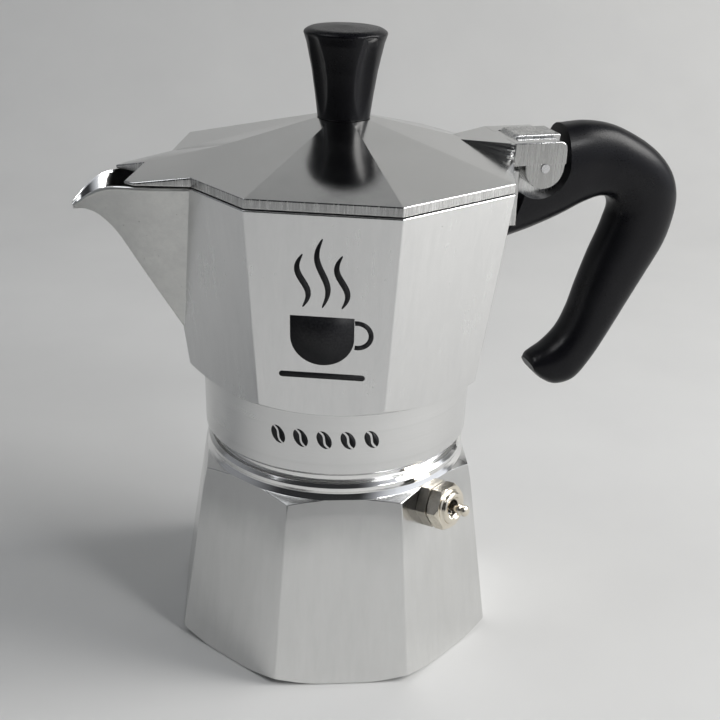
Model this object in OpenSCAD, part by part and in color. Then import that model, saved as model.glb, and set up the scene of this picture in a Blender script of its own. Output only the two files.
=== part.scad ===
// Stovetop moka pot for three cups: octagonal boiler and vessel that screw together,
// hinged lid, bakelite knob and handle, safety valve, funnel, seal and filter.
// Millimetres, +Z up. The origin is the centre of the boiler's base on the table.
// The spout points to -X and the handle to +X.

/* [Boiler] */
// Corner radius of the octagonal boiler at the table
boiler_r = 46.3; // [45.8:0.1:46.8]
// How much the boiler's corner radius shrinks per millimetre of height
boiler_taper = 0.1545; // [0.150:0.0005:0.158]
// Angle between the boiler's corners and the vessel's when screwed tight
boiler_turn = 10; // [0:1:44]
// Wall thickness of the boiler
boiler_wall = 3.2; // [2.8:0.1:3.4]

/* [Vessel] */
// Corner radius of the octagonal vessel at its rim
rim_r = 47.2; // [47:0.1:47.6]
// Height of the vessel's rim above the table
rim_z = 129.1; // [128.8:0.1:129.2]
// How much the vessel's corner radius grows per millimetre of height
vessel_taper = 0.134; // [0.130:0.001:0.136]
// Wall thickness of the vessel
vessel_wall = 3.2; // [2.8:0.1:3.4]
// Radius of the round band under the vessel
band_r = 36; // [35.9:0.1:36.3]

/* [Thread] */
// Pitch of the screw between boiler and vessel
pitch = 3; // [3:1:3]
// Radius of the boiler's neck between the thread ridges
neck_r = 33.2; // [33.1:0.05:33.2]
// Radius of the vessel's threaded bore between the thread ridges
skirt_r = 34.3; // [34.3:0.05:34.4]
// How far a thread ridge stands out
ridge_h = 0.8; // [0.6:0.1:0.8]

/* [Lid] */
// Corner radius of the lid
lid_r = 47; // [46.8:0.1:47.1]
// Height of the top edge of the lid's flange
lid_z = 131.7; // [131.6:0.1:131.9]
// Height of the point where the lid's eight facets would meet
lid_apex_z = 143.8; // [143.4:0.1:144]
// Thickness of the lid's shell
lid_wall = 1.8; // [1.6:0.1:2]

/* [Knob] */
// Radius of the knob at its foot
knob_foot_r = 6.6; // [6.4:0.1:6.7]
// Radius of the knob at its widest
knob_top_r = 10.5; // [10:0.1:11]
// Height of the knob above the lid
knob_h = 22.4; // [21:0.2:24]

/* [Handle] */
// Half width of the handle at the vessel
handle_w = 7.6; // [7.2:0.1:8]
// How square the handle's cross section is, 2 being an ellipse
handle_square = 2.4; // [2:0.1:3]

/* [Hinge] */
// Radius of the hinge pin
pin_r = 1.2; // [1.1:0.05:1.3]
// Half width of the vessel's hinge lug
lug_w = 4.9; // [4.6:0.1:5]
// Distance from the middle to the outside of the lid's hinge ears
ear_w = 10.3; // [10:0.1:10.6]

/* [Safety valve] */
// Hexagon of the safety valve across its flats
valve_hex = 11; // [10.5:0.5:11.5]
// Height of the valve's axis where it meets the boiler's facet
valve_z = 46.6; // [46.2:0.1:46.8]

/* [Hidden] */

$fn = 96;
SIDES = 8;
HALF = 180 / SIDES;
FLAT = cos(HALF);          // apothem of an octagon over its corner radius

// Heights of the turned faces
base_bevel_r = 43.2;
base_bevel_z = 2.4;
shoulder_z = 50.2;
collar_z = 55.8;
neck_top_z = 67;
skirt_z = 58.6;
seat_z = 67.9;
ceiling_z = 70.4;
plenum_z = 71.6;
floor_z = 74;
boiler_floor_z = 3.5;
neck_bore_r = 29.4;
gasket_seat_r = 32.6;
flange_t = 0.8;            // sheet of the funnel and the filter plate
funnel_flange_r = 32.2;
thread_turns = 2.2;
thread_z = 58.9;           // centre of the boiler's ridge where it starts

// Hinge pin position and the clearances that turn round it
pin_x = 52.2;
pin_z = 128.6;
lug_z = 136.4;
lug_swing_r = 9.8;
slot_swing_r = 10.15;
slot_w = lug_w + 0.35;
plateau_z = 135.6;
ear_swing_r = 8.6;
flange_z = rim_z + 0.32;   // underside of the lid

function boiler_corner(z) = boiler_r - boiler_taper * z;
function vessel_corner(z) = rim_r - vessel_taper * (rim_z - z);
lid_slope = (lid_apex_z - lid_z) / lid_r;
seat_r = 7.4;               // corner radius of the flat where the knob stands
knob_z = lid_z + lid_slope * (lid_r - seat_r);

// Octagonal frustum with a corner on +X
module octagon(r0, z0, r1, z1) {
    translate([0, 0, z0])
        cylinder(r1 = r0, r2 = r1, h = z1 - z0, $fn = SIDES);
}

// One helical thread ridge. Its foot is sunk into the wall at r_foot and its crest
// stands at r_crest; both ends run out into the wall.
module thread_ridge(r_foot, r_crest, z0) {
    steps = 40;
    last = round(thread_turns * steps);
    run_out = 5;
    function fade(i) = min(1, min(i, last - i) / run_out);
    function crest(i) = r_foot + (r_crest - r_foot) * (0.2 + 0.8 * fade(i));
    foot = r_crest > r_foot ? 0.75 : -0.75;
    tip = foot * 0.4;
    function ring(i) = let (a = 360 * i / steps, z = z0 + pitch * i / steps, c = crest(i)) [
        [r_foot * cos(a), r_foot * sin(a), z - foot],
        [c * cos(a), c * sin(a), z - tip],
        [c * cos(a), c * sin(a), z + tip],
        [r_foot * cos(a), r_foot * sin(a), z + foot]];
    sweep_mesh([for (i = [0:last]) ring(i)]);
}

// Closed mesh through a list of rings with the same number of points, each of which runs
// clockwise when it is seen with the sweep coming towards the eye
module sweep_mesh(rings) {
    n = len(rings[0]);
    m = len(rings);
    sides = [for (i = [0:m - 2]) for (j = [0:n - 1])
        let (a = i * n + j, b = i * n + (j + 1) % n, c = a + n, d = b + n)
        each [[a, b, d], [a, d, c]]];
    start_cap = [for (j = [n - 1:-1:0]) j];
    end_cap = [for (j = [0:n - 1]) (m - 1) * n + j];
    polyhedron(points = [for (ring = rings) each ring], faces = concat(sides, [start_cap, end_cap]));
}

// ---------------------------------------------------------------- boiler

module boiler_outside() {
    intersection() {
        rotate([0, 0, boiler_turn])
            octagon(boiler_r, 0, boiler_corner(collar_z), collar_z);
        rotate_extrude()
            polygon([[0, 0], [base_bevel_r, 0], [47.2, base_bevel_z + 0.2], [47.2, 46.5],
                [38.6, shoulder_z], [35.4, 51.6], [34.9, 52.6], [34.4, 53.9],
                [34.4, 54.9], [34.1, collar_z], [0, collar_z]]);
    }
    rotate_extrude()
        polygon([[0, collar_z - 1], [neck_r, collar_z - 1], [neck_r, neck_top_z - 0.6],
            [neck_r - 0.6, neck_top_z], [0, neck_top_z]]);
    thread_ridge(neck_r - 0.4, neck_r + ridge_h, thread_z);
}

module boiler_inside() {
    intersection() {
        rotate([0, 0, boiler_turn])
            octagon(boiler_r - boiler_wall, 0, boiler_corner(70) - boiler_wall, 70);
        rotate_extrude()
            polygon([[0, boiler_floor_z], [38, boiler_floor_z], [41, boiler_floor_z + 3],
                [42, 42], [34, 47.5], [neck_bore_r, 50.5], [neck_bore_r, 70], [0, 70]]);
    }
}

module boiler() {
    color("silver") difference() {
        boiler_outside();
        boiler_inside();
        on_valve_axis(-10) cylinder(r = valve_shank_r, h = 14, $fn = 48);
    }
}

// ---------------------------------------------------------------- safety valve

valve_shank_r = 4.6;
valve_side = -3.4;                       // sideways from the middle of its facet
valve_angle = boiler_turn + HALF - 90;   // direction of its facet's normal
valve_tilt = atan(boiler_taper * FLAT);  // the facet leans inwards
valve_flat = valve_hex / 2 / cos(30);    // corner radius of its hexagon
stem_r = 0.9;
stem_throw = 1;

// Local Z runs outwards along the valve's axis, with 0 on the boiler's facet
module on_valve_axis(u) {
    rotate([0, 0, valve_angle])
        translate([boiler_corner(valve_z) * FLAT, valve_side, valve_z])
            rotate([0, 90 - valve_tilt, 0])
                translate([0, 0, u]) children();
}

module valve_body() {
    color("tan") on_valve_axis(0) difference() {
        union() {
            translate([0, 0, -8]) cylinder(r = valve_shank_r, h = 8.2, $fn = 48);
            rotate([0, 0, 30]) cylinder(r = valve_flat, h = 3, $fn = 6);
            cylinder(r = 4, h = 5.4, $fn = 48);
        }
        translate([0, 0, -9]) cylinder(r = 1.6, h = 5, $fn = 32);
        translate([0, 0, -5.5]) cylinder(r = 3, h = 12, $fn = 48);
    }
}

module valve_cap() {
    color("tan") on_valve_axis(0) difference() {
        intersection() {
            union() {
                translate([0, 0, 3.3]) rotate([0, 0, 30]) cylinder(r = valve_flat, h = 4.1, $fn = 6);
                rotate_extrude($fn = 48) polygon([[0, 3.3], [4.2, 3.3], [4.2, 7.6], [3.6, 8.2], [0, 8.2]]);
            }
            rotate_extrude($fn = 64)
                polygon([[0, 3.3], [6.1, 3.3], [6.5, 3.7], [6.5, 6.4], [5.2, 7.4], [5.2, 9], [0, 9]]);
        }
        translate([0, 0, 3]) cylinder(r = 4, h = 2.4, $fn = 48);
        translate([0, 0, 5]) cylinder(r = 2.9, h = 1.4, $fn = 48);
        translate([0, 0, 5]) cylinder(r = 2.2, h = 4, $fn = 48);
    }
}

module valve_stem() {
    color("tan") on_valve_axis(0) rotate_extrude($fn = 48)
        polygon([[0, -4.7], [2.7, -4.7], [2.7, -3.9], [stem_r, -3.9], [stem_r, 9.2], [1.5, 9.7],
            [1.5, 10.4], [1, 10.7], [1.5, 11.1], [1.4, 11.8], [0.8, 12.2], [0, 12.2]]);
}

module valve_seal() {
    color("dimgray") on_valve_axis(-5.5) cylinder(r = 2.4, h = 0.8, $fn = 48);
}

// Compression spring with a round wire, drawn at its length with the valve open
module valve_spring() {
    wire_r = 0.3;
    coil_r = 1.95;
    turns = 6;
    steps = 18;
    sides = 8;
    z0 = -3.9 + stem_throw + wire_r + 0.05;
    z1 = 6.35 - wire_r;
    function ring(i) = let (a = 360 * i / steps, z = z0 + (z1 - z0) * i / (turns * steps)) [
        for (k = [0:sides - 1]) let (b = 360 * k / sides, r = coil_r + wire_r * cos(b))
            [r * cos(a), r * sin(a), z + wire_r * sin(b)]];
    color("gray") on_valve_axis(0)
        sweep_mesh([for (i = [0:turns * steps]) ring(i)]);
}

// ---------------------------------------------------------------- funnel, seal and filter

basket_r = 27.2;
basket_floor_z = 50;
stem_tube_r = 4.8;

module funnel() {
    t = flange_t;
    color("lightgray") rotate_extrude()
        polygon([[stem_tube_r - t, 6.5], [stem_tube_r, 6.5], [stem_tube_r, 43.4],
            [basket_r - 0.6, basket_floor_z - 0.9], [basket_r, neck_top_z - 1.2], [basket_r + 1, neck_top_z],
            [funnel_flange_r, neck_top_z], [funnel_flange_r, neck_top_z + t],
            [basket_r - 0.2, neck_top_z + t], [basket_r - t, neck_top_z - 1],
            [basket_r - t - 0.6, basket_floor_z - 0.2], [stem_tube_r - t, 44]]);
}

// Round holes on rings round the axis
module hole_rings(rings, gap, r, z, h) {
    translate([0, 0, z]) cylinder(r = r, h = h, $fn = 16);
    for (k = [1:rings]) for (i = [0:6 * k - 1])
        rotate([0, 0, 60 * i / k]) translate([k * gap, 0, z])
            cylinder(r = r, h = h, $fn = 16);
}

module funnel_strainer() {
    color("gray") difference() {
        translate([0, 0, basket_floor_z]) cylinder(r = basket_r - flange_t - 0.8, h = flange_t);
        hole_rings(4, 5.2, 0.9, basket_floor_z - 1, 3);
    }
}

module gasket() {
    color("ivory") rotate_extrude()
        polygon([[27.2, neck_top_z + flange_t], [32.3, neck_top_z + flange_t], [32.3, ceiling_z],
            [28.6, ceiling_z], [28.6, ceiling_z - 0.9], [27.2, ceiling_z - 0.9]]);
}

module filter_plate() {
    z = ceiling_z - flange_t;
    color("gray") difference() {
        rotate_extrude()
            polygon([[0, z - 0.9], [25, z - 0.9], [26, z], [28.4, z], [28.4, ceiling_z],
                [25.4, ceiling_z], [24.4, ceiling_z - 0.9], [0, ceiling_z - 0.9]]);
        hole_rings(4, 5.2, 0.8, z - 2, 4);
    }
}

// ---------------------------------------------------------------- vessel

column_r = 5.2;
column_top_z = 119;
column_bore_r = 3.2;
spigot_r = 4.4;             // the column's foot, pressed into the vessel's floor
outlet_w = 2.3;             // half width of the two outlets under the column's roof
outlet_h = 6;
outlet_top_z = column_top_z - 6;
spout_z = rim_z - 0.05;
spout_tip_wall = 1.1;

// Stations along the spout: x, top edge height, half width, keel height
SPOUT = [[-38.5, spout_z, 13.8, 83.5], [-47.6, spout_z, 12, 98.6], [-52.5, spout_z, 10.7, 106.9],
    [-57, spout_z, 8.9, 114.6], [-60, 128.7, 7.2, 118.4], [-62.5, 127.7, 5.7, 120.6],
    [-65, 125.9, 4.1, 121.7], [-67.8, 123, 1.7, 122.3]];

function spout_wall(x) = spout_tip_wall + (vessel_wall - 1 - spout_tip_wall) * (x + 68) / 31;

module spout_outside() {
    keel = 0.5;
    sweep_mesh([for (s = SPOUT)
        [[s[0], -s[2], s[1]], [s[0], -keel, s[3]], [s[0], keel, s[3]], [s[0], s[2], s[1]]]]);
}

module spout_channel() {
    keel = 0.3;
    over = 12;
    function section(s, shift) = let (a = atan(s[2] / (s[1] - s[3])), t = spout_wall(s[0]),
        w = s[2] - t / cos(a), zk = min(s[3] + t / sin(a), s[1] - 0.8))
        [[s[0] + shift, -w, s[1] + over], [s[0] + shift, -w, s[1] + 0.3], [s[0] + shift, -keel, zk],
            [s[0] + shift, keel, zk], [s[0] + shift, w, s[1] + 0.3], [s[0] + shift, w, s[1] + over]];
    last = len(SPOUT) - 1;
    sweep_mesh(concat([section(SPOUT[0], 6)], [for (i = [0:last - 1]) section(SPOUT[i], 0.3)],
        [section(SPOUT[last], -2)]));
}

module vessel_shell() {
    intersection() {
        octagon(vessel_corner(70), 70, rim_r, rim_z);
        rotate_extrude()
            polygon([[0, 70], [36.4, 70], [36.4, 75.4], [37.1, 76.3], [40.4, 78.4],
                [50, 84.6], [50, rim_z], [0, rim_z]]);
    }
    rotate_extrude()
        polygon([[0, skirt_z], [band_r - 0.9, skirt_z], [band_r - 0.3, skirt_z + 0.9],
            [band_r, 75.6], [0, 75.6]]);
    spout_outside();
}

// Bar along X between two values of x and two heights, w to either side of the middle
module bar(x0, x1, z0, z1, w) {
    translate([x0, -w, z0]) cube([x1 - x0, 2 * w, z1 - z0]);
}

wall_x = 43;                // inside the vessel's wall at the handle
lug_x = 58.6;
tongue_w = 4;
tongue_x = 64;
tongue_z = 116.4;           // underside of the lug and of the tongue
tongue_top_z = 127;
web_w = 8.6;
web_x = 46;
web_z = 113;

// Hinge lug, with the tongue that carries the handle and the cast web beside it
module vessel_lug() {
    intersection() {
        bar(wall_x, lug_x, tongue_z, lug_z, lug_w);
        union() {
            on_pin_axis() cylinder(r = lug_swing_r, h = 40, center = true);
            bar(wall_x, tongue_x, tongue_z, pin_z, 2 * lug_w);
        }
    }
    bar(wall_x, tongue_x, tongue_z, tongue_top_z, tongue_w);
    bar(wall_x - 3, web_x, web_z, rim_z - 1, web_w);
}

module vessel_inside() {
    intersection() {
        octagon(vessel_corner(70) - vessel_wall, 70, vessel_corner(140) - vessel_wall, 140);
        rotate_extrude()
            polygon([[0, floor_z], [32, floor_z], [34.4, 76.4], [39.4, 81], [50, 90],
                [50, 140], [0, 140]]);
    }
}

module skirt_bore() {
    rotate_extrude()
        polygon([[0, skirt_z - 1], [skirt_r, skirt_z - 1], [skirt_r, seat_z], [gasket_seat_r, seat_z],
            [gasket_seat_r, ceiling_z], [27, ceiling_z], [26, plenum_z], [0, plenum_z]]);
}

module column() {
    color("silver") difference() {
        rotate_extrude($fn = 64)
            polygon([[0, plenum_z], [spigot_r, plenum_z], [spigot_r, floor_z], [8.8, floor_z],
                [8.3, floor_z + 1.4], [7.4, floor_z + 5], [column_r, column_top_z - 4],
                [column_r - 1, column_top_z - 1.2], [column_r - 2.8, column_top_z], [0, column_top_z]]);
        translate([0, 0, plenum_z - 2])
            cylinder(r = column_bore_r, h = outlet_top_z - plenum_z + 2, $fn = 48);
        bar(-outlet_w, outlet_w, outlet_top_z - outlet_h, outlet_top_z, 15);
    }
}

module vessel() {
    color("silver") difference() {
        union() {
            difference() {
                union() {
                    vessel_shell();
                    vessel_lug();
                }
                difference() {
                    vessel_inside();
                    bar(wall_x - 3, lug_x, 100, 140, lug_w);
                }
                spout_channel();
                skirt_bore();
            }
            thread_ridge(skirt_r + 0.4, skirt_r - ridge_h, thread_z + pitch / 2);
        }
        translate([0, 0, plenum_z - 1])
            cylinder(r = spigot_r + 0.05, h = floor_z - plenum_z + 2, $fn = 64);
        on_pin_axis() cylinder(r = pin_r, h = 40, center = true, $fn = 48);
        screw_bore();
    }
}

// ---------------------------------------------------------------- hinge and lid

module on_pin_axis() {
    translate([pin_x, 0, pin_z]) rotate([90, 0, 0]) children();
}

module hinge_pin() {
    color("gray") on_pin_axis() cylinder(r = pin_r, h = 2 * ear_w + 0.3, center = true, $fn = 48);
}

// Two planes that fall away from a ridge on y = 0, as a solid below them
module tab_roof(drop) {
    x0 = -24;
    x1 = -62;
    w = 22;
    function ridge(x) = 136 + 0.17 * (x + 30.2) - drop;
    function section(x) = [[x, -w, 124], [x, w, 124], [x, w, ridge(x) - 0.176 * w],
        [x, 0, ridge(x)], [x, -w, ridge(x) - 0.176 * w]];
    sweep_mesh([section(x0), section(x1)]);
}

// Outline of the tab over the spout, seen from above, drawn in by a margin
module tab_plan(margin) {
    polygon([[-24, -13.5 + margin], [-41.5, -13.5 + margin], [-54.4 + margin / 2, -9.8 + margin],
        [-56.3 + margin, -7.6 + margin], [-50.2 + margin, 0], [-56.3 + margin, 7.6 - margin],
        [-54.4 + margin / 2, 9.8 - margin], [-41.5, 13.5 - margin], [-24, 13.5 - margin]]);
}

module tab(drop, margin, z) {
    intersection() {
        tab_roof(drop);
        translate([0, 0, z]) linear_extrude(height = 20) tab_plan(margin);
    }
}

module bracket() {
    hull() {
        translate([31, -3, plateau_z - 1]) cube([1, 6, 1]);
        translate([42.9, -ear_w, plateau_z - 1]) cube([4, 2 * ear_w, 1]);
        translate([33, -8, flange_z + 1]) cube([1, 16, 0.5]);
        translate([39, -12.5, flange_z + 1]) cube([0.9, 25, 0.5]);
        translate([42.4, -ear_w, flange_z + 1]) cube([4, 2 * ear_w, 0.5]);
    }
}

module ear_profile() {
    hull() {
        translate([43, flange_z + 0.1]) square([1, plateau_z - flange_z - 0.1]);
        translate([56, plateau_z - 2.2]) circle(r = 2.2, $fn = 48);
        translate([57.2, flange_z + 0.1]) square([1, 1]);
    }
    translate([pin_x, pin_z]) circle(r = 5.5, $fn = 72);
}

module lid_ears() {
    translate([0, ear_w, 0]) rotate([90, 0, 0]) linear_extrude(height = 2 * ear_w) ear_profile();
}

module lid_cut() {
    // slot for the vessel's lug, with an end that turns round the pin
    intersection() {
        bar(38, 62, 118, 142, slot_w);
        on_pin_axis() cylinder(r = slot_swing_r, h = 40, center = true);
    }
    on_pin_axis() cylinder(r = pin_r + 0.07, h = 40, center = true, $fn = 48);
}

module lid() {
    inner_r = lid_r - 2.6;
    color("silver") difference() {
        union() {
            octagon(lid_r, flange_z, lid_r, lid_z);
            octagon(lid_r, lid_z, seat_r, knob_z);
            tab(0, 0, flange_z);
            bracket();
            lid_ears();
        }
        difference() {
            union() {
                octagon(inner_r, flange_z - 1, inner_r, lid_z - lid_wall + 0.4);
                octagon(inner_r, lid_z - lid_wall + 0.4, seat_r, lid_z - lid_wall + 0.4 + lid_slope * (inner_r - seat_r));
                tab(lid_wall, 1.8, flange_z - 2);
            }
            bar(wall_x - 3, 70, 120, 150, ear_w);
            translate([0, 0, 137]) cylinder(r = 5, h = 10, $fn = 48);
        }
        lid_cut();
        translate([0, 0, 130]) cylinder(r = 2.1, h = 20, $fn = 48);
    }
}

// ---------------------------------------------------------------- knob and its fastening

insert_r = 3.1;
insert_h = 10;
screw_r = 1.95;

// Lens-shaped flutes, each cut by a long barrel that leans out with the knob's side
flute_turn = 21;
flute_r = 5.8;              // radius of the barrel at its middle
flute_bend_r = 38.7;        // radius of its side, along its length
flute_axis_x = 12.8;
flute_z = 10.6;             // its middle above the lid
flute_lean = 9.6;

module flute() {
    translate([flute_axis_x, 0, knob_z + flute_z]) rotate([0, flute_lean, 0])
        rotate_extrude($fn = 64) intersection() {
            translate([flute_r - flute_bend_r, 0]) circle(r = flute_bend_r, $fn = 96);
            translate([0, -30]) square([20, 60]);
        }
}

module knob() {
    flutes = 4;
    top = knob_z + knob_h;
    color("black") difference() {
        rotate_extrude()
            polygon([[0, knob_z], [knob_foot_r - 0.3, knob_z], [knob_foot_r, knob_z + 0.3],
                [knob_foot_r + 0.25, knob_z + 2.1], [knob_foot_r + 0.68, knob_z + 5.4],
                [knob_foot_r + 1.1, knob_z + 8.6], [knob_foot_r + 1.65, knob_z + 11.8],
                [knob_top_r - 1.6, top - 7.3], [knob_top_r - 0.85, top - 4], [knob_top_r - 0.1, top - 2.2],
                [knob_top_r, top - 1.6], [knob_top_r - 0.4, top - 0.9], [knob_top_r - 1.4, top - 0.5],
                [5, top - 0.1], [0, top]]);
        for (i = [0:flutes - 1]) rotate([0, 0, flute_turn + 90 * i]) flute();
        translate([0, 0, knob_z - 1]) cylinder(r = insert_r, h = insert_h + 1.5, $fn = 48);
    }
}

module knob_insert() {
    color("gold") difference() {
        translate([0, 0, knob_z]) cylinder(r = insert_r, h = insert_h, $fn = 48);
        translate([0, 0, knob_z - 1]) cylinder(r = screw_r + 0.05, h = insert_h - 1, $fn = 48);
    }
}

module knob_screw() {
    color("gray") difference() {
        union() {
            translate([0, 0, 134.2]) cylinder(r = screw_r, h = 15, $fn = 48);
            translate([0, 0, 134.2]) cylinder(r1 = 2.8, r2 = 3.6, h = 1, $fn = 48);
            translate([0, 0, 135.2]) cylinder(r = 3.6, h = 1, $fn = 48);
        }
        translate([-0.5, -5, 133.2]) cube([1, 10, 1.8]);
    }
}

module knob_washer() {
    color("gray") difference() {
        translate([0, 0, 136.2]) cylinder(r = 4.4, h = flange_t, $fn = 48);
        translate([0, 0, 136]) cylinder(r = screw_r + 0.1, h = 2, $fn = 48);
    }
}

// ---------------------------------------------------------------- handle

// Stations along the handle: x, z, half thickness, angle of the thickness direction
HANDLE = [[48, 122.5, 15.6, 74], [57, 124, 14.9, 71], [64.7, 125.7, 13.4, 72], [71.5, 126.6, 11.6, 67],
    [77.6, 126, 9.9, 57], [83.2, 123.4, 9.5, 38], [86.7, 119.6, 9.8, 22], [88, 115.2, 10, 9],
    [87.4, 110.4, 10, -3], [85.7, 104.8, 9.8, -13], [82, 97, 9, -21], [78.2, 88.4, 8, -26],
    [74.7, 80.2, 7, -34], [71.2, 73.8, 6.8, -45], [66.9, 69, 7.1, -51], [62.4, 67.2, 6.3, -56],
    [59.4, 67.6, 4.2, -62], [57.6, 68.2, 1.6, -66]];

function handle_half_width(i) = handle_w - 1.4 * i / (len(HANDLE) - 1) - (i > 14 ? 0.7 * (i - 14) : 0);

// Point number k of a rounded ring across the handle at station i, with u = 0..1 towards i + 1
function blend(i, u, c) = let (n = len(HANDLE) - 1,
    a = HANDLE[max(i - 1, 0)][c], b = HANDLE[i][c], d = HANDLE[min(i + 1, n)][c], e = HANDLE[min(i + 2, n)][c])
    b + u * ((d - a) + u * ((2 * a - 5 * b + 4 * d - e) + u * (3 * b - a - 3 * d + e))) / 2;
function power(v, p) = sign(v) * pow(abs(v), p);

function handle_ring(i, u, sides) = let (x = blend(i, u, 0), z = blend(i, u, 1), h = blend(i, u, 2),
    tilt = blend(i, u, 3), w = handle_half_width(i) * (1 - u) + handle_half_width(i + 1) * u)
    [for (k = [0:sides - 1]) let (a = 360 * k / sides, p = h * power(cos(a), 2 / handle_square),
        q = w * power(sin(a), 2 / handle_square))
        [x + p * cos(tilt), q, z + p * sin(tilt)]];

module handle_sweep(per_station, sides) {
    last = len(HANDLE) - 2;
    sweep_mesh([for (i = [0:last]) for (s = [0:(i == last ? per_station : per_station - 1)])
        handle_ring(i, s / per_station, sides)]);
}

module handle() {
    color("black") difference() {
        handle_sweep(2, 20);
        octagon(vessel_corner(90), 90, vessel_corner(150), 150);
        on_pin_axis() cylinder(r = ear_swing_r, h = 40, center = true);
        bar(40, pin_x + ear_swing_r, pin_z, pin_z + 30, 20);
        bar(40, lug_x, tongue_z, lug_z + 5, lug_w);
        bar(40, tongue_x, tongue_z, tongue_top_z, tongue_w);
        bar(40, web_x, web_z, pin_z + 5, web_w);
        screw_bore();
    }
}

handle_screw_x = 59;
handle_screw_r = 1.6;
handle_screw_z = 114.9;     // where its head bears on the handle
head_h = 1.5;

// Bore for the handle's screw, from the underside of the handle into the tongue
module screw_bore() {
    translate([handle_screw_x, 0, 100]) cylinder(r = 3.3, h = handle_screw_z - 100, $fn = 48);
    translate([handle_screw_x, 0, 100]) cylinder(r = handle_screw_r + 0.05, h = 25, $fn = 48);
}

module handle_screw() {
    color("gray") difference() {
        union() {
            translate([handle_screw_x, 0, handle_screw_z - 1]) cylinder(r = handle_screw_r, h = 10.5, $fn = 48);
            translate([handle_screw_x, 0, handle_screw_z - head_h]) cylinder(r = 3, h = head_h, $fn = 48);
        }
        translate([handle_screw_x - 0.4, -4, handle_screw_z - head_h - 1]) cube([0.8, 8, 1.7]);
    }
}

boiler();
valve_body();
valve_cap();
valve_spring();
valve_stem();
valve_seal();
funnel();
funnel_strainer();
gasket();
filter_plate();
vessel();
column();
handle();
handle_screw();
hinge_pin();
lid();
knob();
knob_insert();
knob_screw();
knob_washer();
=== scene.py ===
"""Looks of a stovetop moka pot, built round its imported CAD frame.

Shapes are worked out in millimetres in the frame's own axes (spout to -X, handle to +X) and
turned into metres when a mesh is made.
"""

import math

import bmesh
import bpy
import numpy as np
from mathutils import Matrix, Vector


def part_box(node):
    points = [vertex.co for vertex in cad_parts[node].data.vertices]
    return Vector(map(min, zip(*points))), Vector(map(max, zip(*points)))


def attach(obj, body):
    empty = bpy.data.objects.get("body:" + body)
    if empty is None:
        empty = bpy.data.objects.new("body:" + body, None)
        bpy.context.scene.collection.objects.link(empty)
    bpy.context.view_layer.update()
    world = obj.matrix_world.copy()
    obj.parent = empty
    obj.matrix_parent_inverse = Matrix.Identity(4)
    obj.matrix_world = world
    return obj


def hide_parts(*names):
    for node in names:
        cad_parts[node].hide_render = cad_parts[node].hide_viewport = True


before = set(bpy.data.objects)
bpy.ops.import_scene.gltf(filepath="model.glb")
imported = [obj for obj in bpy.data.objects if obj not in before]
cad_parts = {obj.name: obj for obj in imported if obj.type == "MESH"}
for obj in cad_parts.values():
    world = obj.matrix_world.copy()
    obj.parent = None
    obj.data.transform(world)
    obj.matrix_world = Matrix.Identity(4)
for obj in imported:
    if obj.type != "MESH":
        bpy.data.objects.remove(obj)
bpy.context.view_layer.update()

MM = 0.001


def box_mm(node):
    """Lowest and highest corner of a CAD node, in millimetres."""
    lo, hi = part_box(node)
    return np.array(lo) / MM, np.array(hi) / MM


# ---------------- sizes, in millimetres

SIDES = 8
HALF_SIDE = math.pi / SIDES
FLAT = math.cos(HALF_SIDE)                    # from an octagon's corner radius to the middle of its side
FRONT_TURN = 11 * HALF_SIDE                   # direction of the vessel's front facet

BOILER_LO, BOILER_HI = box_mm("boiler")
VESSEL_LO, VESSEL_HI = box_mm("vessel")
LID_LO, LID_HI = box_mm("lid")
KNOB_LO, KNOB_HI = box_mm("knob")
PIN_LO, PIN_HI = box_mm("hinge_pin")
COLUMN_LO, COLUMN_HI = box_mm("column")

# Octagons are given by the radius of their corners, and walls by how it grows with height
BOILER_R, BOILER_TAPER = 46.3, -0.1545
BOILER_TURN = math.radians(10)
RIM_R, VESSEL_TAPER = 47.2, 0.134
RIM_Z = 129.1
VESSEL_R0 = RIM_R - VESSEL_TAPER * RIM_Z      # the facets' corner radius at z = 0
BAND_R, BAND_Z = 36.0, 75.1
FLOOR_Z = 74.0
WALL = 3.2
LID_R, LID_Z, APEX_Z = 47.0, 131.7, 143.8
LID_SLOPE = (APEX_Z - LID_Z) / LID_R
FLANGE_Z = RIM_Z + 0.32
SEAT_R = 7.4
SEAT_Z = KNOB_LO[2]
PIN_X, PIN_Z = (PIN_LO[0] + PIN_HI[0]) / 2, (PIN_LO[2] + PIN_HI[2]) / 2
PIN_R = (PIN_HI[2] - PIN_LO[2]) / 2
# Half widths of the vessel's hinge lug, of the lid's ears and of the slot between them
LUG_W, EAR_W, SLOT_W = 4.9, 10.3, 5.25
LUG_X, LUG_Z = 58.6, VESSEL_HI[2]
EAR_SWING_R = 8.6
# Web between vessel and lug, and tongue that the handle's screw bites into
WEB_X, WEB_Z, WEB_W = 46.0, 113.0, 8.6
TONGUE_X, TONGUE_Z, TONGUE_TOP_Z, TONGUE_W = 64.0, 116.4, 127.0, 4.0
SCREW_X, SCREW_R = 59.0, 1.65
SPIGOT_R = 4.4
PLATEAU_Z = 135.6
SKIRT_R, SKIRT_Z = 34.3, VESSEL_LO[2]
NECK_R, NECK_Z = 33.2, BOILER_HI[2]
THREAD_Z, PITCH = 58.9, 3.0
PLAY = 0.05                                   # gap round what is let into another piece
CUT = 0.01                                    # bevel of a cutting body, too small to see


# ---------------- mesh helpers

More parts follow.
